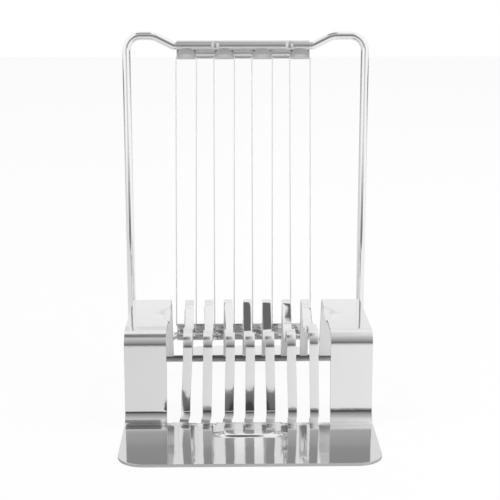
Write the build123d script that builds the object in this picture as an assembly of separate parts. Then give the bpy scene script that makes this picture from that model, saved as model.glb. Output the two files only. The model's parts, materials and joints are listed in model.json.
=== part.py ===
from build123d import *
import os
from math import radians, tan

# Egg slicer: a slotted steel base with an egg dish, and a wire frame hinged behind it.
#
# Millimetres. X runs across the slicer, Y from front to back, Z up. The shapes are drawn with
# Y = 0 on the front wall's face and Z = 0 on the table. At the end they are placed so that the
# origin is the middle of the slicer's footprint.

# Base: one bent sheet
sheet = 1.0                  # its thickness
slice_pitch = 7.32           # from slot to slot, which is a slice's thickness
slot_count = 8
slot_width = 4.3
cheek_width = 14.23          # the unslotted part on each side
bridge_height = 32.1         # table to the top face
top_length = 43.6            # front wall's face to the corner of top and rear wall
rear_lean = 20.7             # degrees, rear wall from upright
flange_length = 37.7         # the foot in front of the front wall
flange_corner = 8.5
fold_front_foot = 3.4        # inside radii of the folds: flange to front wall,
fold_front_top = 3.8         # front wall to top,
fold_rear_top = 1.5          # top to rear wall,
fold_tail = 1.0              # rear wall to tail, and tail to its foot
slot_front = 1.9             # the slots start this far in front of the wall's face
slot_rear_height = 7.0       # table to the slots' lower end in the rear wall
bead_length = 25.0           # embossed bead on the flange
bead_width = 7.0
bead_rise = 1.0
bead_setback = 12.8          # front wall's face to the middle of the bead

# Egg dish, pressed into the top
dish_length = 61.0           # across the slicer, at the top face
dish_width = 36.0
dish_depth = 9.5
dish_middle = 23.5           # behind the front wall's face

# Tail, which carries the back of the base
tail_height = 4.5            # table to its underside
tail_width = 43.0
tail_corner = 4.0
foot_width = 33.0            # lip turned down to the table
fold_stub = 2.6              # sheet left behind the rear fold, beside the tail
tail_behind_hinge = 10.0     # hinge axis to the back of the tail

# Hinge: a tongue of the base on each side, curled round the frame's rod
hinge_behind_wall = 9.85     # rear wall, at the tail's level, to the hinge axis
hinge_height = 8.7
running_gap = 0.05           # radial, rod to knuckle
knuckle_width = 3.8
knuckle_play = 0.4           # straight rod left on each side of the knuckle
curl_turn = 285.0            # degrees
relief_width = 0.5           # slit on each side of the tongue
relief_height = 11.0         # table to the slits' upper end

# Frame: a bent rod on each side
rod_diameter = 3.0
side_gap = 0.75              # base to rod
frame_height = 118.9         # hinge axis to the rods' upper shoulders
corner_upper = 5.5           # bend radii on the rod's centre line
corner_lower = 4.5
bend_shoulder = 8.0
bend_small = 3.0
shoulder_drop = 3.7          # shoulder to the bar's level
slope_run = 7.45             # the upper slope, along X

# Wire bars: a strip folded round the rods' ends, with hooks turned up from its edge
strip = 0.5                  # its thickness
crimp_gap = 0.02             # radial, strip to rod
leaf_depth = 4.6             # rod's centre to the leaf's edge
bar_overhang = 0.05          # bar's end past the outer hooks
bar_lead = 1.0               # the rod stays straight this far outside the bar
bar_offset = -1.0            # the bars sit off the middle
hook_width = 7.0
hook_height = 3.7
hook_below = 0.3             # the hooks' fold reaches past the leaf's edge
hook_lean = 18.0             # degrees, away from the leaf
hook_notch = 0.15            # cut on each side of the hook's neck, where the wire turns
spread_upper = -0.6          # pitch of the hooks less two slices, on the upper bar
spread_lower = 0.16          # and on the lower bar
clinch_left = 10.3           # bar's middle to the dents that lock the rods' ends
clinch_right = 17.1
clinch_radius = 0.9
clinch_depth = 0.2
clinch_shift = -1.4          # from the dent in the roll to the one in the leaf
rod_past_clinch = 1.5

# Cutting wires
wire_diameter = 0.5
wire_gap = 0.05              # radial, wire to the hook's groove
wire_bend = 0.45             # on the wire's centre line

# Worked out from the sizes above
half_sheet = sheet / 2
slots_span = (slot_count - 1) * slice_pitch + slot_width
base_width = slots_span + 2 * cheek_width
top_middle = bridge_height - half_sheet          # middle of the sheet, as below
tail_middle = tail_height + half_sheet
corner_y = top_length - half_sheet
wall_foot_y = corner_y + (top_middle - tail_middle) * tan(radians(rear_lean))
hinge_y = wall_foot_y + hinge_behind_wall
tail_end = hinge_y + tail_behind_hinge
rod_radius = rod_diameter / 2
side_x = base_width / 2 + side_gap + rod_radius
knuckle_outer = side_x - corner_lower - knuckle_play
knuckle_radius = rod_radius + running_gap + half_sheet
upper_rod_z = hinge_height + frame_height - shoulder_drop
lower_rod_z = hinge_height + shoulder_drop
loop_count = slot_count // 2
pitch_upper = 2 * slice_pitch + spread_upper
pitch_lower = 2 * slice_pitch + spread_lower
roll_radius = rod_radius + crimp_gap + strip
groove_radius = wire_diameter / 2 + wire_gap
groove_depth = leaf_depth + hook_below - strip - groove_radius
groove_ahead = strip + groove_radius
neck_width = hook_width - 2 * hook_notch
loop_width = neck_width + 2 * wire_bend


# ---- Base ----

def sheet_band(line, width, middle=0.0):
    """A bent sheet: its middle line, drawn in Y and Z, drawn out along X."""
    section = Plane.YZ * trace(line, sheet)
    return Pos(middle, 0, 0) * extrude(section, amount=width / 2, both=True)


def bridge():
    """Flange, front wall, top, rear wall and the fold below it, still without slots."""
    line = FilletPolyline(
        (-flange_length, half_sheet),
        (half_sheet, half_sheet),
        (half_sheet, top_middle),
        (corner_y, top_middle),
        (wall_foot_y, tail_middle),
        (wall_foot_y + fold_stub, tail_middle),
        radius=[fold_front_foot + half_sheet, fold_front_top + half_sheet,
                fold_rear_top + half_sheet, fold_tail + half_sheet],
    )
    band = sheet_band(line, base_width)
    front_corners = band.edges().filter_by(Axis.Z).group_by(Axis.Y)[0]
    return fillet(front_corners, flange_corner)


def ellipsoid(half_length, radius):
    """An egg-like solid of revolution about X, where the dish's centre is."""
    outline = EllipticalCenterArc((0, 0), half_length, radius, start_angle=0, arc_size=180)
    half_face = make_face(outline + Line(outline @ 0, outline @ 1))
    return revolve(half_face, Axis.X)


def with_dish(band):
    """Presses the egg dish into the top, at the sheet's own thickness."""
    half_width = dish_width / 2
    radius = (half_width**2 + dish_depth**2) / (2 * dish_depth)
    half_length = dish_length / 2 * radius / half_width
    middle = Pos(0, dish_middle, bridge_height + radius - dish_depth)
    below_top = Pos(0, dish_middle, 0) * Box(
        2 * base_width, 2 * dish_width, bridge_height, align=(Align.CENTER, Align.CENTER, Align.MIN))
    bowl = (middle * ellipsoid(half_length + sheet, radius + sheet)) & below_top
    return band + bowl - middle * ellipsoid(half_length, radius)


def slot_cutter(middle):
    """Removes one slot, from the front fold over the top and down the rear wall."""
    reach = wall_foot_y + bridge_height
    front = Box(slot_width, corner_y + slot_front, 3 * bridge_height,
                align=(Align.CENTER, Align.MIN, Align.CENTER))
    rear = Box(slot_width, reach, 2 * bridge_height,
               align=(Align.CENTER, Align.MIN, Align.MIN))
    return Pos(middle, -slot_front, 0) * front + Pos(middle, corner_y, slot_rear_height) * rear


def bead():
    """Embossed oval on the flange: what it adds above, and its hollow below."""
    raised = extrude(SlotOverall(bead_length, bead_width), amount=sheet + bead_rise)
    raised = fillet(raised.edges().group_by(Axis.Z)[-1], 0.9 * bead_rise)
    hollow = extrude(SlotOverall(bead_length - 2 * sheet, bead_width - 2 * sheet), amount=bead_rise)
    place = Pos(0, -bead_setback, 0)
    return place * raised, place * hollow


def tail():
    """Plate behind the rear fold, and the lip turned down from it to the table."""
    plate_start = wall_foot_y + fold_stub - sheet
    lip_start = tail_end - sheet - fold_tail
    plate = Pos(0, plate_start, tail_height) * Box(
        tail_width, lip_start - plate_start, sheet, align=(Align.CENTER, Align.MIN, Align.MIN))
    plate = fillet(plate.edges().filter_by(Axis.Z).group_by(Axis.Y)[-1], tail_corner)
    line = FilletPolyline(
        (lip_start - sheet, tail_middle),
        (tail_end - half_sheet, tail_middle),
        (tail_end - half_sheet, 0),
        radius=fold_tail + half_sheet,
    )
    return plate + sheet_band(line, foot_width)


def tongue(middle):
    """Strip of the rear wall that runs back and curls round the rod."""
    level = hinge_height - knuckle_radius
    start = relief_height + sheet
    slope = tan(radians(rear_lean))
    strip_line = FilletPolyline(
        (corner_y + (top_middle - start) * slope, start),
        (corner_y + (top_middle - level) * slope, level),
        (hinge_y, level),
        radius=fold_tail + half_sheet,
    )
    curl = CenterArc((hinge_y, hinge_height), knuckle_radius, -90, curl_turn)
    return sheet_band(strip_line + curl, knuckle_width, middle)


def relief(middle):
    """Room for a tongue in the foot of the rear wall, with a slit on each side of it."""
    width = knuckle_width + 2 * relief_width
    return Pos(middle, corner_y, 0) * Box(
        width, hinge_y, relief_height, align=(Align.CENTER, Align.MIN, Align.MIN))


def slotted_base():
    """The whole base, one piece of sheet."""
    raised, hollow = bead()
    base = with_dish(bridge()) + tail() + raised - hollow
    for index in range(slot_count):
        base -= slot_cutter((index - (slot_count - 1) / 2) * slice_pitch)
    for side in (-1, 1):
        middle = side * (knuckle_outer - knuckle_width / 2)
        base = base - relief(middle) + tongue(middle)
    return base


# ---- Frame ----

def bar_length(pitch):
    """A wire bar's length, from its hooks' pitch."""
    return (loop_count - 1) * pitch + hook_width + 2 * bar_overhang


def hook_places(pitch):
    """Middles of a bar's hooks."""
    return [bar_offset + (index - (loop_count - 1) / 2) * pitch for index in range(loop_count)]


def side_rod(side, clinch):
    """A bent rod, from inside the upper bar, down the side and into the lower bar."""
    inner_end = side * bar_offset + clinch - rod_past_clinch
    upper_bend = side * bar_offset + bar_length(pitch_upper) / 2 + bar_lead
    lower_bend = side * bar_offset + bar_length(pitch_lower) / 2 + bar_lead
    knuckle_inner = knuckle_outer - knuckle_width - knuckle_play
    top = hinge_height + frame_height
    route = [
        (inner_end, upper_rod_z),
        (upper_bend, upper_rod_z),
        (upper_bend + slope_run, top),
        (side_x, top),
        (side_x, hinge_height),
        (knuckle_inner - bend_small / 2, hinge_height),
        (lower_bend, lower_rod_z),
        (inner_end, lower_rod_z),
    ]
    path = FilletPolyline(
        *[(side * x, hinge_y, z) for x, z in route],
        radius=[bend_small, bend_shoulder, corner_upper, corner_lower, bend_small, bend_small],
    )
    start = Plane(origin=path @ 0, z_dir=path % 0)
    return sweep(start * Circle(rod_radius), path=path)


def dent(x, surface_y, z):
    """A shallow round dent, pressed in from the front."""
    ball = (clinch_radius**2 + clinch_depth**2) / (2 * clinch_depth)
    return Pos(x, surface_y + clinch_depth - ball, z) * Sphere(ball)


def hook(middle):
    """Lug folded up from the leaf's edge: the groove for the wire, then a half-round tongue."""
    ring = Circle(groove_radius + strip) - Circle(groove_radius)
    lower_half = Pos(0, -leaf_depth / 2) * Rectangle(leaf_depth, leaf_depth)
    neck = extrude(Plane.YZ * (ring & lower_half), amount=neck_width / 2, both=True)
    lug_face = Ellipse(hook_width / 2, hook_height)
    lug_face &= Pos(0, (hook_height - strip / 5) / 2) * Rectangle(2 * hook_width, hook_height + strip / 5)
    lug = extrude(Plane.XZ * lug_face, amount=strip / 2, both=True)
    lug = Pos(0, -groove_radius - strip / 2, 0) * Rot(hook_lean, 0, 0) * lug
    return Pos(middle, -groove_ahead, -groove_depth) * (neck + lug)


def wire_bar(pitch):
    """A bar with its rod along the X axis, its leaf hanging down and its hooks in front."""
    length = bar_length(pitch)
    leaf = Pos(0, -leaf_depth / 2) * Rectangle(2 * strip, leaf_depth)
    section = Circle(roll_radius) + leaf - Circle(rod_radius + crimp_gap)
    bar = Pos(bar_offset, 0, 0) * extrude(Plane.YZ * section, amount=length / 2, both=True)
    for middle in hook_places(pitch):
        bar += hook(middle)
    leaf_middle = -(rod_radius + leaf_depth) / 2
    for place in (-clinch_left, clinch_right):
        bar -= dent(bar_offset + place, -roll_radius, 0)
        bar -= dent(bar_offset + place + clinch_shift, -strip, leaf_middle)
    return bar


def cutting_wire(index):
    """A closed loop of wire, over a hook of the upper bar and under one of the lower bar."""
    upper_x = hook_places(pitch_upper)[index]
    lower_x = hook_places(pitch_lower)[index]
    upper_z = upper_rod_z - groove_depth
    lower_z = lower_rod_z + groove_depth
    half = loop_width / 2
    y = hinge_y - groove_ahead
    path = FilletPolyline(
        (lower_x - half, y, lower_z),
        (upper_x - half, y, upper_z),
        (upper_x + half, y, upper_z),
        (lower_x + half, y, lower_z),
        radius=wire_bend,
        close=True,
    )
    start = Plane(origin=path @ 0, z_dir=path % 0)
    return sweep(start * Circle(wire_diameter / 2), path=path)


# ---- The set of pieces ----

upper_bar = Pos(0, hinge_y, upper_rod_z) * wire_bar(pitch_upper)
lower_bar = Pos(0, hinge_y, lower_rod_z) * mirror(wire_bar(pitch_lower), about=Plane.XY)

pieces = {
    "slotted_base": slotted_base(),
    "side_rod_left": side_rod(-1, clinch_left),
    "side_rod_right": side_rod(1, clinch_right),
    "upper_wire_bar": upper_bar,
    "lower_wire_bar": lower_bar,
}
for number in range(loop_count):
    pieces[f"cutting_wire_{number + 1}"] = cutting_wire(number)

# The slicer's own frame: Y = 0 is halfway along its footprint
to_own_frame = Pos(0, (flange_length - tail_end) / 2, 0)

os.makedirs("parts", exist_ok=True)
for name, shape in pieces.items():
    export_step(to_own_frame * shape, f"parts/{name}.step")
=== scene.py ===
"""Egg slicer: the finish of its slotted base, its frame and its cutting wires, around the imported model.

Metres, in the model's own frame: X across the slicer, Y from front to back, Z up from the table.
"""
import json
from math import acos, atan2, cos, pi, radians, sin, sqrt, tan

import bmesh
import bpy
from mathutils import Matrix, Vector


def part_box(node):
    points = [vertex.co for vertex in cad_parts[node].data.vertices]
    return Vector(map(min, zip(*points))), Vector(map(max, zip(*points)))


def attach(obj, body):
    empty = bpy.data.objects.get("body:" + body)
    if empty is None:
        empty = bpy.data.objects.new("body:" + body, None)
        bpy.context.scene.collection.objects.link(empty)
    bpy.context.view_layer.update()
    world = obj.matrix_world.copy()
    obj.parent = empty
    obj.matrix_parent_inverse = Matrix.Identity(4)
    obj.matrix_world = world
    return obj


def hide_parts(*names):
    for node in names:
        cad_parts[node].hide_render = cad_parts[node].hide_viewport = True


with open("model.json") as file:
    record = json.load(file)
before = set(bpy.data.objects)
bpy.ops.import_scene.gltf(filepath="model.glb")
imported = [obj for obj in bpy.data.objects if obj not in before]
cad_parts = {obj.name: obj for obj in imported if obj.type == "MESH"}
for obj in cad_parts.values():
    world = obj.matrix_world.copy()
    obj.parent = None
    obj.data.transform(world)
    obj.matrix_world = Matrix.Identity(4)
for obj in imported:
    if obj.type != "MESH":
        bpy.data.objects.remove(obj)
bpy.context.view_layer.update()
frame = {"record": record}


# ---- Slotted base ----
# One strip of 1 mm stainless sheet, mirror polished. It is slit, bent up from the flange into a bridge
# and down again behind it, and the egg dish and the bead on the flange are pressed in.

MM = 0.001
hair = 0.001 * MM                          # room for rounding, where a place is tested
base_low, base_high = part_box("slotted_base")
sheet = 1.0 * MM
half_sheet = sheet / 2
wall_y = base_low.y + 37.7 * MM            # front wall's face
wall_mid_y = wall_y + half_sheet
flange_corner = 8.5 * MM
top_mid_z = base_high.z - half_sheet
rear_corner_y = wall_y + 44.4 * MM - half_sheet
tail_z = 4.5 * MM + half_sheet             # middle of the tail's sheet
hinge = Vector(frame["record"]["behaviour"]["joints"][0]["pos_m"])
rear_foot_y = hinge.y - 9.85 * MM
rear_lean = atan2(rear_foot_y - rear_corner_y, top_mid_z - tail_z)      # rear wall from upright
fold_foot = 4.2 * MM                       # folds, as radii in the middle of the sheet
fold_front = 4.0 * MM
fold_rear = 1.5 * MM
fold_tail = 1.5 * MM
slot_count = 8
slot_pitch = 7.32 * MM
slot_width = 4.3 * MM
slat_width = slot_pitch - slot_width
slot_middles = [(i - (slot_count - 1) / 2) * slot_pitch for i in range(slot_count)]
cheek_x = slot_middles[-1] + slot_width / 2
slot_front_y = wall_y - 1.9 * MM
slot_rear_z = 7.3 * MM


def pick(kind, test):
    """In edit mode, select the vertices, edges or faces whose middle passes the test."""
    bpy.ops.mesh.select_mode(type=kind)
    bpy.ops.mesh.select_all(action="DESELECT")
    shape = bmesh.from_edit_mesh(bpy.context.object.data)
    for part in {"VERT": shape.verts, "EDGE": shape.edges, "FACE": shape.faces}[kind]:
        corners = [part] if kind == "VERT" else part.verts
        middle = sum((corner.co for corner in corners), Vector()) / len(corners)
        if test(middle):
            part.select_set(True)
    shape.select_flush_mode()
    bmesh.update_edit_mesh(bpy.context.object.data)


def start_piece(name, add, **sizes):
    """Add a primitive as the start of a new piece and open it in edit mode."""
    bpy.ops.object.select_all(action="DESELECT")
    add(**sizes)
    bpy.context.object.name = name
    bpy.context.object.data.name = name
    bpy.ops.object.transform_apply(location=True, rotation=True, scale=True)
    bpy.ops.object.mode_set(mode="EDIT")
    return bpy.context.object


class BentEdge:
    """The edge at which a bent sheet goes on, as a point and a heading in the YZ plane."""

    def __init__(self, y, z, heading):
        self.y, self.z, self.heading = y, z, heading

    def straight(self, length, steps=1):
        """Extrude the selected edges straight on."""
        step_y, step_z = (length / steps * f(self.heading) for f in (cos, sin))
        for _ in range(steps):
            bpy.ops.mesh.extrude_edges_move(TRANSFORM_OT_translate={"value": (0, step_y, step_z)})
        self.y += step_y * steps
        self.z += step_z * steps

    def fold(self, turn, radius, steps):
        """Spin the selected edges round a fold."""
        side = 1 if turn > 0 else -1
        centre_y = self.y - side * radius * sin(self.heading)
        centre_z = self.z + side * radius * cos(self.heading)
        bpy.ops.mesh.spin(steps=steps, angle=-turn, center=(0, centre_y, centre_z), axis=(1, 0, 0))
        self.heading += turn
        self.y = centre_y + side * radius * sin(self.heading)
        self.z = centre_z - side * radius * cos(self.heading)


def finish_sheet(piece, thickness, edge_round, smooth=radians(35)):
    """Give a bent surface its thickness and break its cut edges."""
    bpy.ops.mesh.select_all(action="SELECT")
    bpy.ops.mesh.remove_doubles(threshold=hair)
    bpy.ops.mesh.normals_make_consistent(inside=False)
    bpy.ops.object.mode_set(mode="OBJECT")
    wall = piece.modifiers.new("wall", "SOLIDIFY")
    wall.thickness = thickness
    wall.offset = 0
    wall.use_even_offset = True
    wall.use_quality_normals = True
    bpy.ops.object.modifier_apply(modifier="wall")
    bpy.ops.object.shade_smooth_by_angle(angle=smooth)
    edges = piece.modifiers.new("edges", "BEVEL")
    edges.width = edge_round
    edges.segments = 2
    edges.limit_method = "ANGLE"
    edges.angle_limit = radians(60)
    edges.harden_normals = True
    bpy.ops.object.modifier_apply(modifier="edges")


flange_y = base_low.y
flange_end_y = wall_mid_y - fold_foot
base = start_piece("base_sheet", bpy.ops.mesh.primitive_plane_add, size=1)
bpy.ops.mesh.select_all(action="SELECT")
bpy.ops.transform.resize(value=(2 * base_high.x, flange_end_y - flange_y, 1))
bpy.ops.transform.translate(value=(0, (flange_end_y + flange_y) / 2, half_sheet))
pick("VERT", lambda p: p.y < flange_y + 1 * MM)
bpy.ops.mesh.bevel(offset=flange_corner, segments=16, profile=0.5, affect="VERTICES", clamp_overlap=False)

# Columns: the slots' edges and fine lines between them, and on the cheeks the tongues' edges and slits
cells = 8                                  # across a slot or a slat
columns = []
for middle in slot_middles:
    columns += [middle + slot_width * (i / cells - 0.5) for i in range(cells + 1)]
for middle in slot_middles[:-1]:
    columns += [middle + slot_width / 2 + slat_width * i / cells for i in range(1, cells)]
tongue_middle, tongue_half, slit = 37.45 * MM, 1.9 * MM, 0.5 * MM
tongue_outer = tongue_half + slit
tongue_edges = [tongue_middle + x for x in (-tongue_outer, -tongue_half, tongue_half, tongue_outer)]
cheek_lines = [cheek_x + 0.38 * MM * i for i in range(1, 11)]
cheek_lines += tongue_edges + [33.3 * MM, tongue_middle, 41 * MM]
columns += [side * x for x in cheek_lines for side in (-1, 1)]
for x in sorted(columns):
    bpy.ops.mesh.select_all(action="SELECT")
    bpy.ops.mesh.bisect(plane_co=(x, 0, 0), plane_no=(1, 0, 0))

# The strip goes on from the flange: foot fold, front wall, front fold, top, rear fold, rear wall, tail fold
pick("EDGE", lambda p: p.y > flange_end_y - hair)
edge = BentEdge(flange_end_y, half_sheet, 0.0)
edge.fold(radians(90), fold_foot, 24)
foot_top = edge.z
edge.straight(top_mid_z - fold_front - foot_top, 26)
edge.fold(radians(-90), fold_front, 24)
rear_turn = radians(90) - rear_lean
edge.straight(rear_corner_y - fold_rear * tan(rear_turn / 2) - edge.y, 96)
edge.fold(-rear_turn, fold_rear, 14)
slope = (top_mid_z - tail_z) / cos(rear_lean) - (fold_rear + fold_tail) * tan(rear_turn / 2)
edge.straight(slope, 12)
edge.fold(rear_turn, fold_tail, 10)
stub_end_y = rear_foot_y + 2.6 * MM
edge.straight(stub_end_y - edge.y, 2)

# Slots: from the foot fold over the top and down the rear wall
pick("FACE", lambda p: flange_end_y < p.y < wall_y and p.z < foot_top)
bpy.ops.mesh.bisect(plane_co=(0, slot_front_y, 0), plane_no=(0, 1, 0))
pick("FACE", lambda p: p.y > rear_corner_y and p.z < top_mid_z - fold_rear)
bpy.ops.mesh.bisect(plane_co=(0, 0, slot_rear_z), plane_no=(0, 0, 1))


def in_slot(p):
    """Whether this place is in a slot, where the sheet is cut away."""
    across = any(abs(p.x - middle) < slot_width / 2 for middle in slot_middles)
    return across and p.y > slot_front_y and (p.y < rear_corner_y or p.z > slot_rear_z)


pick("FACE", in_slot)
bpy.ops.mesh.delete(type="FACE")

# Tongues: the rear wall is slit beside each, and the strip between the slits curls round the rod
relief_z = 11 * MM
pick("FACE", lambda p: p.y > rear_corner_y and p.z < top_mid_z - fold_rear)
bpy.ops.mesh.bisect(plane_co=(0, 0, relief_z), plane_no=(0, 0, 1))
pick("FACE", lambda p: p.z < relief_z and p.y > rear_corner_y
     and tongue_edges[0] < abs(p.x) < tongue_edges[3])
bpy.ops.mesh.delete(type="FACE")
knuckle_radius = 2.05 * MM                 # middle of the curled sheet
relief_y = rear_corner_y + (top_mid_z - relief_z) * tan(rear_lean)
pick("EDGE", lambda p: abs(p.z - relief_z) < hair and p.y > rear_corner_y
     and tongue_edges[1] < abs(p.x) < tongue_edges[2] and abs(p.y - relief_y) < 0.1 * MM)
edge = BentEdge(relief_y, relief_z, -pi / 2 + rear_lean)
level = hinge.z - knuckle_radius
edge.straight((relief_z - level) / cos(rear_lean) - fold_tail * tan(rear_turn / 2), 3)
edge.fold(rear_turn, fold_tail, 8)
edge.straight(hinge.y - edge.y, 3)
edge.fold(radians(285), knuckle_radius, 40)

# Tail: the middle of the strip runs on behind the fold, and its lip is turned down to the table
tail_half = 21.5 * MM
foot_half = 16.5 * MM
tail_corner = 4 * MM
lip_y = base_high.y - half_sheet - fold_tail
for x in (-tail_half, -foot_half, foot_half, tail_half):
    pick("FACE", lambda p: p.y > rear_corner_y and p.z < slot_rear_z)
    bpy.ops.mesh.bisect(plane_co=(x, 0, 0), plane_no=(1, 0, 0))
pick("EDGE", lambda p: abs(p.y - stub_end_y) < hair and abs(p.x) < tail_half and p.z < slot_rear_z)
edge = BentEdge(stub_end_y, tail_z, 0.0)
edge.straight(lip_y - stub_end_y, 1)
pick("EDGE", lambda p: abs(p.y - lip_y) < hair and abs(p.x) < foot_half and abs(p.z - tail_z) < half_sheet)
edge.fold(radians(-90), fold_tail, 10)
edge.straight(edge.z, 1)

# Flange rows, close together where the bead is
bead_length, bead_width, bead_rise = 25 * MM, 7 * MM, 0.95 * MM
bead_crest = 0.4                           # share of its half width before the flank falls
bead_cells = 18
bead_y = wall_y - 12.8 * MM
bead_rows = [bead_y + bead_width * (i / bead_cells - 0.5) for i in range(bead_cells + 1)]
for y in bead_rows + [bead_y + 5 * MM, bead_y + 7 * MM]:
    pick("FACE", lambda p: p.y < flange_end_y and p.z < sheet)
    bpy.ops.mesh.bisect(plane_co=(0, y, 0), plane_no=(0, 1, 0))
bpy.ops.object.mode_set(mode="OBJECT")

# The slats stand a little uneven, as they came from the press. One row for each, from left to right, in mm:
# how far it stands to the right at its foot, at the front fold and at the rear fold, how far its front fold
# droops, and how far the dish's rear slope is straightened. Its belly is a share of the left cheek's.
slats = [
    {"foot": 0.55, "front": 1.4, "rear": 0.75, "droop": 1.25, "straight": 1.1, "belly": 0.6},
    {"foot": 0.5, "front": 0.85, "rear": 0.65, "droop": 1.25, "straight": 1.1, "belly": 1.25},
    {"foot": 0.7, "front": 1.12, "rear": 0.4, "droop": 1.25, "straight": 1.1, "belly": 0.6},
    {"foot": 0.4, "front": 0.55, "rear": 0.2, "droop": 1.25, "straight": 1.3, "belly": 0.55},
    {"foot": 0.25, "front": -0.15, "rear": 0.0, "droop": 1.2, "straight": 1.2, "belly": 0.6},
    {"foot": 0.3, "front": -0.2, "rear": 0.0, "droop": 0.8, "straight": 0.3, "belly": 1.18},
    {"foot": 0.45, "front": 0.1, "rear": -0.4, "droop": 0.15, "straight": 1.1, "belly": 1.15},
]


def slat_at(x):
    """The number of the slat nearest to x, and the place across it from -1 to 1."""
    middle = (slot_count - 2) / 2
    index = min(max(round(x / slot_pitch + middle), 0), slot_count - 2)
    return index, (x - (index - middle) * slot_pitch) / (slat_width / 2)


def is_slat(p):
    """Whether this place is on a slat and not on a cheek."""
    return abs(p.x) < cheek_x - slot_width / 2


def clamp(value):
    """The value kept between 0 and 1."""
    return min(max(value, 0), 1)


def fade(value, start, end):
    """0 at start, 1 at end, with soft ends."""
    share = clamp((value - start) / (end - start))
    return share**2 * (3 - 2 * share)


# Dish and bead are pressed in: the dish an ellipsoid with a rounded rim, the bead an oval rib
dish_y = wall_y + 23.5 * MM
dish_half_x, dish_half_y, dish_depth = 30.5 * MM, 18 * MM, 9.5 * MM
dish_radius = (dish_half_y**2 + dish_depth**2) / (2 * dish_depth)       # of the ellipsoid, along Y and Z
dish_reach = dish_half_x * dish_radius / dish_half_y                    # and along X
rim_round = 1.1 * MM
straight_start, straight_run = 6 * MM, 12 * MM      # of the rear slope, behind the dish's middle


def pressed_top(p):
    """Height of the top's middle surface over the table."""
    across = (p.x / (dish_reach + half_sheet))**2
    along = ((p.y - dish_y) / (dish_radius + half_sheet))**2
    if across + along >= 1:
        return p.z
    bowl = base_high.z + dish_radius - dish_depth - (dish_radius + half_sheet) * sqrt(1 - across - along)
    if is_slat(p):
        up = max((p.y - dish_y - straight_start) / straight_run, 0)
        bowl += slats[slat_at(p.x)[0]]["straight"] * MM * 4 * up * (1 - up) * fade(up, 0, 0.35)
    blend = max(rim_round - abs(p.z - bowl), 0) / rim_round
    return min(p.z, bowl) - blend**2 * rim_round / 4


def pressed_flange(p):
    """Height of the flange's middle surface over the table."""
    out = sqrt((2 * p.x / bead_length)**4 + (2 * (p.y - bead_y) / bead_width)**2)
    return p.z + bead_rise * (0.5 + 0.5 * cos(pi * clamp((out - bead_crest) / (1 - bead_crest))))


for vertex in base.data.vertices:
    p = vertex.co
    if p.z > top_mid_z - 10 * hair and wall_y < p.y < rear_corner_y:
        p.z = pressed_top(p)
    elif p.z < sheet and p.y < flange_end_y:
        p.z = pressed_flange(p)
    elif abs(p.y - lip_y) < hair and tail_half - tail_corner < abs(p.x) <= tail_half + 10 * hair:
        p.y = lip_y - tail_corner + sqrt(max(tail_corner**2 - (abs(p.x) - tail_half + tail_corner)**2, 0))
bpy.ops.object.mode_set(mode="EDIT")
bpy.ops.mesh.select_all(action="SELECT")
bpy.ops.mesh.remove_doubles(threshold=hair)
bpy.ops.mesh.normals_make_consistent(inside=False)
bpy.ops.object.mode_set(mode="OBJECT")

# The punch rolled the slats' edges down, and the front walls belly out towards their foot
crown = 0.08 * MM
belly_top, belly_curve = 15.5 * MM, 0.0135 / MM
belly_left, belly_right = 1.0, 1.15        # share of this curve on each cheek
belly_thin, thin_run = 0.22, 2.5 * MM      # the left cheek's belly is flatter beside its slot
belly_lean = 0.2                           # the leftmost slat's belly grows to the right
droop_left, droop_run = 0.5 * MM, 9 * MM   # the left cheek droops at the front fold
dish_twist = 0.055                         # slope across the middle slat, in the dish
held_z, free_z = 1.3 * MM, 3.2 * MM        # a slat is held by the flange below, and free above
rear_free = 3 * MM                         # and comes free of the rear wall over this height
sway_low, sway_high = 4 * MM, 28 * MM
front_part = wall_y + 6 * MM               # the front wall and its folds lie before this
rear_part = rear_corner_y - 3 * MM         # and the rear wall and its folds behind this


def belly(p):
    """How far the front wall stands out at this place."""
    if is_slat(p):
        index, across = slat_at(p.x)
        share = slats[index]["belly"]
        if index == 0:
            share += belly_lean * min(max(across, -1), 1)
    elif p.x < 0:
        share = belly_left - belly_thin * fade(p.x, -cheek_x - thin_run, -cheek_x)
    else:
        share = belly_right
    high = belly_top - foot_top
    if p.z > foot_top:
        return share * belly_curve / 2 * max(belly_top - p.z, 0)**2
    ease = min((foot_top - p.z) / (foot_top - half_sheet), 1)
    return share * belly_curve * high * (high / 2 + (foot_top - half_sheet) * (ease - ease**2 / 2))


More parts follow.
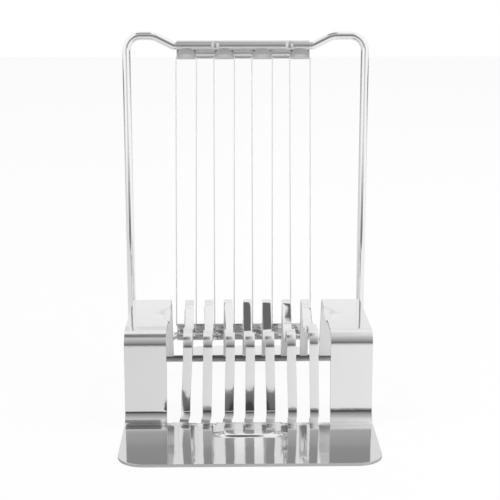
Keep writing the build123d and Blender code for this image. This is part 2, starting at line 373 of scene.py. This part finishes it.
outward = [vertex.normal.copy() for vertex in base.data.vertices]
top_normal = max(zip(base.data.vertices, outward), key=lambda pair: pair[0].co.z)[1]
crown_side = 1 if top_normal.z > 0 else -1
for vertex, normal in zip(base.data.vertices, outward):
    p = vertex.co
    index, across = slat_at(p.x)
    slat = slats[index]
    on_wall = p.y < wall_y + 2 * MM and p.z < top_mid_z - fold_front
    in_front = p.y < front_part and p.z > half_sheet
    behind = p.y > rear_part
    if flange_end_y - 10 * hair < p.y < rear_foot_y + 4 * MM and abs(across) < 1.01:
        free = 1
        if in_front:
            free = fade(p.z, held_z, free_z)
        elif behind:
            free = fade(p.z, slot_rear_z, slot_rear_z + rear_free)
        p -= crown * abs(across)**3 * free * normal * crown_side
        if in_front:
            sway = slat["foot"] + (slat["front"] - slat["foot"]) * fade(p.z, sway_low, sway_high)
        elif behind:
            sway = slat["rear"] * (p.z - slot_rear_z) / (top_mid_z - slot_rear_z)
        else:
            sway = slat["front"] + (slat["rear"] - slat["front"]) * (p.y - wall_y) / (rear_corner_y - wall_y)
        p.x += sway * free * MM
        ahead = 0 if behind else 1 - fade(p.y, wall_y, rear_corner_y)
        p.z -= slat["droop"] * MM * free * ahead * clamp((p.z - foot_top) / (top_mid_z - foot_top))
        if index == 3 and not in_front and not behind:
            p.z += dish_twist * across * slat_width / 2 * fade(p.z, top_mid_z, top_mid_z - 2 * MM)
    elif flange_end_y - 10 * hair < p.y < rear_corner_y and p.x < -cheek_x + 10 * hair:
        droop = droop_left * (1 - fade(p.y, wall_y, wall_y + droop_run))
        p.z -= droop * clamp((p.z - foot_top) / (top_mid_z - foot_top))
    if p.y > flange_end_y - hair and on_wall:
        p.y -= belly(p)
bpy.ops.object.mode_set(mode="EDIT")
finish_sheet(base, sheet, 0.1 * MM)

# Work on the sheet and painted shade: 1 in the front folds, which are a little duller, up to 2 in the rear
# foot's fold,
# which is duller still and painted darker: painted shade
worked_and_painted_shade = base.data.attributes.new("worked_and_painted_shade", "FLOAT", "POINT")
for vertex, value in zip(base.data.vertices, worked_and_painted_shade.data):
    p = vertex.co
    top_fold = fade(p.y, wall_y + 5 * MM, wall_y + 3.5 * MM)
    top_fold *= fade(p.z, top_mid_z - 5.5 * MM, top_mid_z - 3.5 * MM)
    foot_fold = fade(p.y, flange_end_y - 0.6 * MM, flange_end_y) * fade(p.z, foot_top, foot_top - 2 * MM)
    foot_fold *= fade(p.y, wall_y + 2 * MM, wall_y + 1 * MM)
    value.value = max(top_fold, foot_fold)
    # Painted shade: the rear foot's fold goes from 1 to 2, which darkens its colour down to 0.12
    if p.z < slot_rear_z + 0.3 * MM and rear_foot_y - 3 * MM < p.y < rear_foot_y + 2 * MM:
        value.value = 1 + fade(p.z, 5.0 * MM, 6.5 * MM)


def steel(name, colour, roughness, haze, wave, wave_size):
    """Polished steel: its gloss varies a little, its surface is not quite even, and painted shade darkens
    its colour where the sheet's attribute goes over 1.
    """
    material = bpy.data.materials.new(name)
    material.use_nodes = True
    nodes, links = material.node_tree.nodes, material.node_tree.links
    shader = nodes["Principled BSDF"]
    shader.inputs["Metallic"].default_value = 1
    place = nodes.new("ShaderNodeTexCoord")
    cloud = nodes.new("ShaderNodeTexNoise")
    cloud.inputs["Scale"].default_value = 90
    cloud.inputs["Detail"].default_value = 3
    tint = nodes.new("ShaderNodeMix")
    tint.data_type = "RGBA"
    tint.inputs["A"].default_value = [c * 0.97 for c in colour] + [1]
    tint.inputs["B"].default_value = [*colour, 1]
    gloss = nodes.new("ShaderNodeMapRange")
    gloss.inputs["To Min"].default_value = roughness
    gloss.inputs["To Max"].default_value = roughness + haze
    work_and_shade_here = nodes.new("ShaderNodeAttribute")
    work_and_shade_here.attribute_name = "worked_and_painted_shade"
    duller = nodes.new("ShaderNodeMath")
    duller.operation = "MULTIPLY_ADD"
    duller.inputs[1].default_value = 0.17
    # Painted shade: values from 1 to 2 darken the colour down to 0.12 of it
    painted_darker = nodes.new("ShaderNodeMapRange")
    for socket, value in (("From Min", 1), ("From Max", 2), ("To Min", 1), ("To Max", 0.12)):
        painted_darker.inputs[socket].default_value = value
    shade = nodes.new("ShaderNodeVectorMath")
    shade.operation = "SCALE"
    ripple = nodes.new("ShaderNodeTexNoise")
    ripple.inputs["Scale"].default_value = 1 / wave_size
    ripple.inputs["Detail"].default_value = 2
    bump = nodes.new("ShaderNodeBump")
    bump.inputs["Strength"].default_value = 1
    bump.inputs["Distance"].default_value = wave
    links.new(place.outputs["Object"], cloud.inputs["Vector"])
    links.new(cloud.outputs["Fac"], tint.inputs["Factor"])
    links.new(work_and_shade_here.outputs["Fac"], painted_darker.inputs["Value"])
    links.new(tint.outputs["Result"], shade.inputs[0])
    links.new(painted_darker.outputs["Result"], shade.inputs["Scale"])
    links.new(shade.outputs["Vector"], shader.inputs["Base Color"])
    links.new(cloud.outputs["Fac"], gloss.inputs["Value"])
    links.new(work_and_shade_here.outputs["Fac"], duller.inputs[0])
    links.new(gloss.outputs["Result"], duller.inputs[2])
    links.new(duller.outputs["Value"], shader.inputs["Roughness"])
    links.new(place.outputs["Object"], ripple.inputs["Vector"])
    links.new(ripple.outputs["Fac"], bump.inputs["Height"])
    links.new(bump.outputs["Normal"], shader.inputs["Normal"])
    return material


base.data.materials.append(steel("mirror_sheet", (0.86, 0.86, 0.865), 0.03, 0.05, 0.02 * MM, 6 * MM))
base.data.materials.append(steel("sheared_edge", (0.52, 0.52, 0.525), 0.2, 0.1, 0.01 * MM, 1 * MM))
for face in base.data.polygons:            # the cut edges are duller than the sheet's faces
    slot_edge = abs(face.normal.x) > 0.9
    flange_edge = abs(face.normal.z) < 0.5 and face.center.z < sheet and face.center.y < flange_end_y
    if slot_edge or flange_edge:
        face.material_index = 1
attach(base, "base")
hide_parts("slotted_base")


# ---- Side rods ----
# Two 3 mm rods, drawn and polished, bent into a C on each side. They turn in the base's curled tongues,
# and their ends lie inside the two wire bars.

rod_radius = 1.5 * MM
rod_material = steel("polished_rod", (0.93, 0.93, 0.935), 0.06, 0.05, 0.004 * MM, 3 * MM)
upper_low, upper_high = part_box("upper_wire_bar")
lower_low, lower_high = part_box("lower_wire_bar")
bar_roll = 2.02 * MM                       # from a bar's outermost face to the rods' middle
upper_z = upper_high.z - bar_roll          # the rods' height inside the bars
lower_z = lower_low.z + bar_roll
bend_small, bend_shoulder, corner_upper, corner_lower = 3 * MM, 8 * MM, 5.5 * MM, 4.5 * MM
bar_lead = 1 * MM                          # the rod stays straight this far outside a bar
slope_run = 7.45 * MM                      # the upper slope, across the slicer
pin_end_x = 33.65 * MM                     # inner end of the straight run in the knuckle


def bent_wire(name, radius, sides, y, route, bends):
    """A round wire along straight runs joined by bends, in the XZ plane; a closed route makes a ring."""
    ring = route[0] == route[-1]
    at = Vector(route[0])
    ahead = (Vector(route[1]) - at).normalized()
    wire = start_piece(name, bpy.ops.mesh.primitive_circle_add, vertices=sides, radius=radius,
                       fill_type="NOTHING" if ring else "NGON", location=(at.x, y, at.y),
                       rotation=(0, atan2(ahead.x, ahead.y), 0))
    bpy.ops.mesh.select_all(action="SELECT")
    for i, bend in enumerate(bends + [0]):
        corner = Vector(route[i + 1])
        ahead = (corner - at).normalized()
        after = (Vector(route[i + 2]) - corner).normalized() if bend else ahead
        turn = atan2(ahead.x * after.y - ahead.y * after.x, ahead.dot(after))
        stop = corner - ahead * bend * tan(abs(turn) / 2)
        move = stop - at
        extrude = bpy.ops.mesh.extrude_edges_move if ring else bpy.ops.mesh.extrude_region_move
        extrude(TRANSFORM_OT_translate={"value": (move.x, 0, move.y)})
        if bend:
            centre = stop + Vector((-ahead.y, ahead.x)) * (1 if turn > 0 else -1) * bend
            bpy.ops.mesh.spin(steps=max(6, round(abs(turn) / radians(5))), angle=turn,
                              center=(centre.x, y, centre.y), axis=(0, 1, 0))
            at = corner + after * bend * tan(abs(turn) / 2)
    bpy.ops.mesh.select_all(action="SELECT")
    bpy.ops.mesh.remove_doubles(threshold=hair)
    bpy.ops.mesh.normals_make_consistent(inside=False)
    bpy.ops.object.mode_set(mode="OBJECT")
    bpy.ops.object.shade_smooth_by_angle(angle=radians(40))
    return wire


for name in ("side_rod_left", "side_rod_right"):
    low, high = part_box(name)
    side = 1 if low.x > 0 else -1
    outer_x = max(abs(low.x), abs(high.x)) - rod_radius
    inner_x = min(abs(low.x), abs(high.x))
    shoulder_z = high.z - rod_radius
    upper_x = (upper_high.x if side > 0 else -upper_low.x) + bar_lead
    lower_x = (lower_high.x if side > 0 else -lower_low.x) + bar_lead
    route = [
        (inner_x, upper_z), (upper_x, upper_z), (upper_x + slope_run, shoulder_z), (outer_x, shoulder_z),
        (outer_x, hinge.z), (pin_end_x, hinge.z), (lower_x, lower_z), (inner_x, lower_z),
    ]
    bends = [bend_small, bend_shoulder, corner_upper, corner_lower, bend_small, bend_small]
    rod = bent_wire(name + "_bent", rod_radius, 40, hinge.y, [(side * x, z) for x, z in route], bends)
    rod.data.materials.append(rod_material)
    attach(rod, "frame")
    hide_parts(name)


# ---- Wire bars ----
# Each is one strip of 0.5 mm stainless sheet, rolled round the rods' ends until its two edges lie flat
# together. Hooks folded up from the front edge hold the wires, and dents pressed in the roll lock the rods.

strip = 0.47 * MM
leaf_middle = 0.25 * MM                    # from the rods' axis to the middle of each layer
leaf_depth = 4.6 * MM
roll_middle = 1.77 * MM
throat = 0.55 * MM                         # bend between roll and leaves
groove = 0.55 * MM                         # bend between leaf and hook
groove_z = -4.1 * MM
neck_half, hook_half, hook_height = 3.35 * MM, 3.5 * MM, 3.85 * MM
hook_lean = radians(3.5)
hook_arc = radians(87)                     # each half of the hook's round outline
hook_dome = 0.16 * MM
corner_ease, dome_ease = 0.5 * MM, 1 * MM  # up the hook, to its full width and to its full dome
hook_inset = 0.05 * MM                     # from the bar's end to the outermost hook
bar_middle = -1 * MM
leaf_start = 0.3 * MM                      # the leaf's lowest row, from which the strip goes on
leaf_bulge = 0.24 * MM                     # the front layer stands off a little between the hooks
bulge_z, bulge_end_z = -2.7 * MM, -3.8 * MM
bulge_ease = 1.2 * MM                      # along the bar, behind a hook's side
front_face = (-0.55 * MM, -0.4 * MM)       # range of the front layer's face, from the rods' axis
clinches = [bar_middle - 10.3 * MM, bar_middle + 17.1 * MM]
dent_depth, dent_half = 0.3 * MM, 1.5 * MM
dent_tilt, dent_arc = radians(12), radians(50)      # its middle above level, its reach round the roll
dent_low_z, dent_rear_y = -1.6 * MM, 0.4 * MM       # the roll's dented part lies above and before these
dimple_shift, dimple_z = -1.4 * MM, -3.05 * MM
dimple_depth, dimple_radius, rim_height = 0.22 * MM, 0.75 * MM, 0.05 * MM
rim_at, rim_half = 1.15, 0.3               # the rim's middle and half width, in dimple radii
fine = 0.22 * MM                           # between the columns at the dents
strip_look = (0.78, 0.78, 0.785)

for name, bar_z, up, gloss in (("upper_wire_bar", upper_z, 1, 0.26), ("lower_wire_bar", lower_z, -1, 0.08)):
    low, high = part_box(name)
    half_length = (high.x - low.x) / 2
    hook_pitch = 2 * (half_length - hook_half - hook_inset) / 3
    hooks = [bar_middle + (i - 1.5) * hook_pitch for i in range(4)]
    bar = start_piece(name + "_strip", bpy.ops.mesh.primitive_plane_add, size=1, rotation=(pi / 2, 0, 0))
    bpy.ops.mesh.select_all(action="SELECT")
    bpy.ops.transform.resize(value=(2 * half_length, 1, leaf_start))
    bpy.ops.transform.translate(value=(bar_middle, leaf_middle, -leaf_depth + leaf_start / 2))
    columns = [hook + neck_half * i / 10 for hook in hooks for i in range(-10, 11)]
    for left, right in zip(hooks, hooks[1:]):
        columns += [(left + right) / 2 + (right - left - 2 * neck_half) * i / 18 for i in range(-8, 9)]
    for place in clinches:
        for middle in (place, place + dimple_shift):
            columns += [middle + fine * i for i in range(-5, 6)]
    for x in sorted(columns):
        bpy.ops.mesh.select_all(action="SELECT")
        bpy.ops.mesh.bisect(plane_co=(x, 0, 0), plane_no=(1, 0, 0))

    # Up the rear layer, round the roll and down the front layer
    pick("EDGE", lambda p: p.z > -leaf_depth + leaf_start - hair)
    throat_turn = acos((leaf_middle + throat) / (roll_middle + throat))
    throat_z = -(roll_middle + throat) * sin(throat_turn)
    edge = BentEdge(leaf_middle, -leaf_depth + leaf_start, pi / 2)
    edge.straight(throat_z - edge.z, 10)
    edge.fold(-throat_turn, throat, 8)
    edge.fold(pi + 2 * throat_turn, roll_middle, 80)
    edge.fold(-throat_turn, throat, 8)
    edge.straight(edge.z - groove_z, 10)
    leaf_end = BentEdge(edge.y, edge.z, edge.heading)

    # Hooks: folded up in front of the leaf, half-round and a little domed
    pick("EDGE", lambda p: abs(p.z - groove_z) < hair and p.y < 0
         and any(abs(p.x - hook) < neck_half for hook in hooks))
    edge.fold(hook_lean - pi, groove, 16)
    root_y, root_z, rise_y, rise_z = edge.y, edge.z, cos(edge.heading), sin(edge.heading)
    edge.straight(hook_height, 16)
    pick("EDGE", lambda p: abs(p.z - groove_z) < hair and abs(p.y + leaf_middle) < hair
         and not any(abs(p.x - hook) < neck_half for hook in hooks))
    leaf_end.straight(leaf_depth + groove_z, 2)
    bpy.ops.object.mode_set(mode="OBJECT")
    for vertex in bar.data.vertices:
        p = vertex.co
        along = (p.y - root_y) * rise_y + (p.z - root_z) * rise_z
        aside = (p.y - root_y) * rise_z - (p.z - root_z) * rise_y
        if along > hair and abs(aside) < hair:
            hook = min(hooks, key=lambda middle: abs(middle - p.x))
            arc = along / hook_height * hook_arc
            across = (p.x - hook) / neck_half
            half = neck_half + (hook_half - neck_half) * fade(along, 0, corner_ease)
            p.x = hook + across * cos(arc) * half
            swell = hook_dome * (1 - across**2) * cos(arc) * fade(along, 0, dome_ease)
            p.y += rise_y * (hook_height * sin(arc) - along) - rise_z * swell
            p.z += rise_z * (hook_height * sin(arc) - along) + rise_y * swell
        elif p.y < 0 and groove_z < p.z < throat_z and abs(p.y + leaf_middle) < 10 * hair:
            beside = fade(min(abs(p.x - hook) for hook in hooks), hook_half - bulge_ease, hook_half)
            stand_off = fade(p.z, throat_z, bulge_z) * fade(p.z, bulge_end_z, bulge_z)
            p.y -= leaf_bulge * beside * stand_off
    bpy.ops.object.mode_set(mode="EDIT")
    finish_sheet(bar, strip, 0.09 * MM)

    # Dents in the outside of the roll and the leaf, then the bar goes to its place
    for vertex in bar.data.vertices:
        p = vertex.co
        out = sqrt(p.y**2 + p.z**2)
        for place in clinches:
            if out > roll_middle and p.z > dent_low_z and p.y < dent_rear_y:
                round_roll = atan2(p.z, -p.y) - dent_tilt
                near = max(1 - ((p.x - place) / dent_half)**2 - (round_roll / dent_arc)**2, 0)
                dent = dent_depth * near**1.5 / out
                p.y, p.z = p.y * (1 - dent), p.z * (1 - dent)
            elif front_face[0] < p.y < front_face[1]:
                far = sqrt((p.x - place - dimple_shift)**2 + (p.z - dimple_z)**2) / dimple_radius
                rim = rim_height * max(1 - ((far - rim_at) / rim_half)**2, 0)
                p.y += dimple_depth * max(1 - far**2, 0) - rim
        p.z *= up
        p.y += hinge.y
        p.z += bar_z
    if up < 0:
        bar.data.flip_normals()
    bar.data.materials.append(steel(name + "_steel", strip_look, gloss, 0.08, 0.012 * MM, 4 * MM))
    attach(bar, "frame")
    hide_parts(name)


# ---- Cutting wires ----
# Four closed loops of 0.5 mm drawn stainless wire, each stretched over a hook of the upper bar and under
# one of the lower bar, so that two strands go through neighbouring slots.

wire_radius = 0.25 * MM
wire_bend = 0.45 * MM
loop_half = neck_half + wire_bend          # half a loop's width: its strands clear the hooks' necks
loop_pitch_upper, loop_pitch_lower = 14.04 * MM, 14.8 * MM
wire_material = steel("drawn_wire", (1.0, 1.0, 1.0), 0.5, 0.1, 0.002 * MM, 2 * MM)
for number in range(1, 5):
    name = f"cutting_wire_{number}"
    low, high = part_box(name)
    top, bottom = high.z - wire_radius, low.z + wire_radius
    upper_x = bar_middle + (number - 2.5) * loop_pitch_upper
    lower_x = bar_middle + (number - 2.5) * loop_pitch_lower
    start = ((upper_x + lower_x) / 2 - loop_half, (top + bottom) / 2)
    route = [
        start, (upper_x - loop_half, top), (upper_x + loop_half, top), (lower_x + loop_half, bottom),
        (lower_x - loop_half, bottom), start,
    ]
    wire = bent_wire(name + "_loop", wire_radius, 12, (low.y + high.y) / 2, route, [wire_bend] * 4)
    wire.data.materials.append(wire_material)
    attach(wire, "frame")
    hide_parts(name)


# ---- Studio ----
# A pale table in a white studio, with a wide softbox high on each side and the dim end of the room in
# front. What the steel mirrors is the room: the table looks white to the camera, and grey in the mirrors.

bpy.ops.object.select_all(action="DESELECT")
table_z = -0.02 * MM                       # just under the slicer's feet
bpy.ops.mesh.primitive_plane_add(size=1, location=(0, 0, table_z))
table = bpy.context.object
table.name = "table"
bpy.ops.object.mode_set(mode="EDIT")
bpy.ops.transform.resize(value=(4, 2.1, 1))
bpy.ops.transform.translate(value=(0, 0.89, 0))
bpy.ops.object.mode_set(mode="OBJECT")
bpy.ops.object.transform_apply(location=True, rotation=True, scale=True)
paper = bpy.data.materials.new("pale_table")
paper.use_nodes = True
nodes, links = paper.node_tree.nodes, paper.node_tree.links
nodes.clear()
output = nodes.new("ShaderNodeOutputMaterial")
matte = nodes.new("ShaderNodeBsdfDiffuse")
place = nodes.new("ShaderNodeTexCoord")
across = nodes.new("ShaderNodeSeparateXYZ")
# Painted light: the table's colour is paler to the right, standing in for more light on that side
painted_light_right = nodes.new("ShaderNodeMapRange")    # a little paler to the right
for socket, value in (("From Min", -0.06), ("From Max", 0.06), ("To Min", 0.84), ("To Max", 1.0)):
    painted_light_right.inputs[socket].default_value = value
links.new(place.outputs["Object"], across.inputs["Vector"])
links.new(across.outputs["X"], painted_light_right.inputs["Value"])
# Painted shadow: the table's colour is greyer under the bridge, deepening the shadow there as the steel
# mirrors it
shadow = nodes.new("ShaderNodeVectorMath")
shadow.operation = "LENGTH"
around = nodes.new("ShaderNodeMapping")    # and greyer under the bridge: half axes of 50 and 16 mm
around.inputs["Location"].default_value = (0, 0.56, 0)
around.inputs["Scale"].default_value = (20, 62, 0)
painted_shadow_grey = nodes.new("ShaderNodeMapRange")
for socket, value in (("From Min", 0.7), ("From Max", 1.25), ("To Min", 0.4), ("To Max", 1.0)):
    painted_shadow_grey.inputs[socket].default_value = value
painted_light_and_shadow = nodes.new("ShaderNodeMath")
painted_light_and_shadow.operation = "MULTIPLY"
links.new(place.outputs["Object"], around.inputs["Vector"])
links.new(around.outputs["Vector"], shadow.inputs[0])
links.new(shadow.outputs["Value"], painted_shadow_grey.inputs["Value"])
links.new(painted_light_right.outputs["Result"], painted_light_and_shadow.inputs[0])
links.new(painted_shadow_grey.outputs["Result"], painted_light_and_shadow.inputs[1])
links.new(painted_light_and_shadow.outputs["Value"], matte.inputs["Color"])
bright = nodes.new("ShaderNodeEmission")
bright.inputs["Color"].default_value = (1, 1, 1, 1)
rays = nodes.new("ShaderNodeLightPath")
share = nodes.new("ShaderNodeMath")
share.operation = "MULTIPLY"
share.inputs[1].default_value = 0.95
mix = nodes.new("ShaderNodeMixShader")
links.new(rays.outputs["Is Camera Ray"], share.inputs[0])
links.new(share.outputs["Value"], mix.inputs["Fac"])
links.new(matte.outputs["BSDF"], mix.inputs[1])
links.new(bright.outputs["Emission"], mix.inputs[2])
links.new(mix.outputs["Shader"], output.inputs["Surface"])
table.data.materials.append(paper)

world = bpy.data.worlds.new("studio")
bpy.context.scene.world = world
world.use_nodes = True
nodes, links = world.node_tree.nodes, world.node_tree.links
nodes.clear()


def math(operation, *values):
    """A Math node on sockets or numbers; returns its output."""
    node = nodes.new("ShaderNodeMath")
    node.operation = operation
    for socket, value in zip(node.inputs, values):
        if isinstance(value, (int, float)):
            socket.default_value = value
        else:
            links.new(value, socket)
    return node.outputs["Value"]


def window(value, low, high, soft):
    """1 between low and high, with soft edges."""
    up, down = (nodes.new("ShaderNodeMapRange") for _ in range(2))
    for node, start, end in ((up, low - soft, low + soft), (down, high + soft, high - soft)):
        node.interpolation_type = "SMOOTHSTEP"
        links.new(value, node.inputs["Value"])
        node.inputs["From Min"].default_value = start
        node.inputs["From Max"].default_value = end
    return math("MULTIPLY", up.outputs["Result"], down.outputs["Result"])


def turn_at(degrees):
    """The value of turned at this angle: 0 is level at the back, 90 straight up, 180 level in front."""
    return (degrees + 90) / 360


def round_the_room(stops):
    """Brightness round the room, from straight down, up the back, over the top and down the front."""
    ramp = nodes.new("ShaderNodeValToRGB")
    links.new(turned, ramp.inputs["Fac"])
    ramp.color_ramp.interpolation = "EASE"
    while len(ramp.color_ramp.elements) < len(stops):
        ramp.color_ramp.elements.new(0.5)
    for element, (degrees, grey) in zip(ramp.color_ramp.elements, stops):
        element.position = turn_at(degrees)
        element.color = (grey, grey, grey, 1)
    return ramp.outputs["Color"]


heading = nodes.new("ShaderNodeTexCoord").outputs["Generated"]
split = nodes.new("ShaderNodeSeparateXYZ")
links.new(heading, split.inputs["Vector"])
out_x, out_y, out_z = split.outputs
turned = math("DIVIDE", math("WRAP", math("ADD", math("ARCTAN2", out_z, out_y), pi / 2), 2 * pi, 0), 2 * pi)
sides = round_the_room([(-90, 0.6), (-10, 0.95), (70, 1.0), (200, 1.0), (269, 0.95)])
front = round_the_room([
    (-90, 0.9), (-10, 0.95), (15.5, 0.95), (17.5, 0.87), (22, 0.8), (35, 0.95), (55, 1.0), (104, 1.0),
    (116, 0.75), (127, 0.55), (140, 0.48), (146, 0.43), (151, 0.35), (157, 0.34), (161, 0.27), (169, 0.17),
    (173, 0.06), (178, 0.05), (181.5, 0.3), (185, 0.7), (200, 0.8), (269, 0.9),
])
room = nodes.new("ShaderNodeMix")
room.data_type = "RGBA"
links.new(window(out_x, -0.32, 0.32, 0.08), room.inputs["Factor"])
links.new(sides, room.inputs["A"])
links.new(front, room.inputs["B"])
# Two dim patches of the room: one overhead on the left, and the strip where the floor ends in front
overhead_up = window(turned, turn_at(78), turn_at(112), 0.01)
overhead = math("MULTIPLY", window(out_x, -0.35, 0.05, 0.04), overhead_up)
floor_end_up = window(turned, turn_at(190), turn_at(198), 0.006)
floor_end = math("MULTIPLY", window(out_x, -0.5, 0.5, 0.06), floor_end_up)
dim = nodes.new("ShaderNodeMix")
dim.data_type = "RGBA"
links.new(math("MAXIMUM", overhead, floor_end), dim.inputs["Factor"])
links.new(room.outputs["Result"], dim.inputs["A"])
dim.inputs["B"].default_value = (0.155, 0.155, 0.155, 1)

# The steel mirrors the room, the camera sees plain white behind the table, and a weak fill lights the rest
rays = nodes.new("ShaderNodeLightPath")
seen_in_metal = nodes.new("ShaderNodeBackground")
links.new(dim.outputs["Result"], seen_in_metal.inputs["Color"])
fill = nodes.new("ShaderNodeBackground")
fill.inputs["Color"].default_value = (1, 1, 1, 1)
fill.inputs["Strength"].default_value = 0.2
white = nodes.new("ShaderNodeBackground")
white.inputs["Color"].default_value = (1, 1, 1, 1)
mirrors = nodes.new("ShaderNodeMixShader")
links.new(rays.outputs["Is Glossy Ray"], mirrors.inputs["Fac"])
links.new(fill.outputs["Background"], mirrors.inputs[1])
links.new(seen_in_metal.outputs["Background"], mirrors.inputs[2])
camera_sees = nodes.new("ShaderNodeMixShader")
links.new(rays.outputs["Is Camera Ray"], camera_sees.inputs["Fac"])
links.new(mirrors.outputs["Shader"], camera_sees.inputs[1])
links.new(white.outputs["Background"], camera_sees.inputs[2])
output = nodes.new("ShaderNodeOutputWorld")
links.new(camera_sees.outputs["Shader"], output.inputs["Surface"])

for side, watts in ((-1, 6.2), (1, 8.2)):
    lamp = bpy.data.lights.new(f"softbox_{side}", "AREA")
    lamp.shape = "SQUARE"
    lamp.size = 0.7
    lamp.energy = watts
    place = bpy.data.objects.new(lamp.name, lamp)
    place.location = (side * 0.75, -0.1, 0.95)
    place.rotation_euler = (Vector((0, 0, 0.03)) - place.location).to_track_quat("-Z", "Y").to_euler()
    place.visible_glossy = False
    bpy.context.collection.objects.link(place)

camera = bpy.data.objects.new("camera", bpy.data.cameras.new("camera"))
camera.data.lens = 86.4
camera.data.clip_start = 0.01
camera.location = (-6.3 * MM, -404.65 * MM, 148.4 * MM)
camera.rotation_euler = (radians(77.23), 0, radians(-1))
bpy.context.collection.objects.link(camera)
bpy.context.scene.camera = camera
bpy.context.scene.view_settings.view_transform = "Standard"
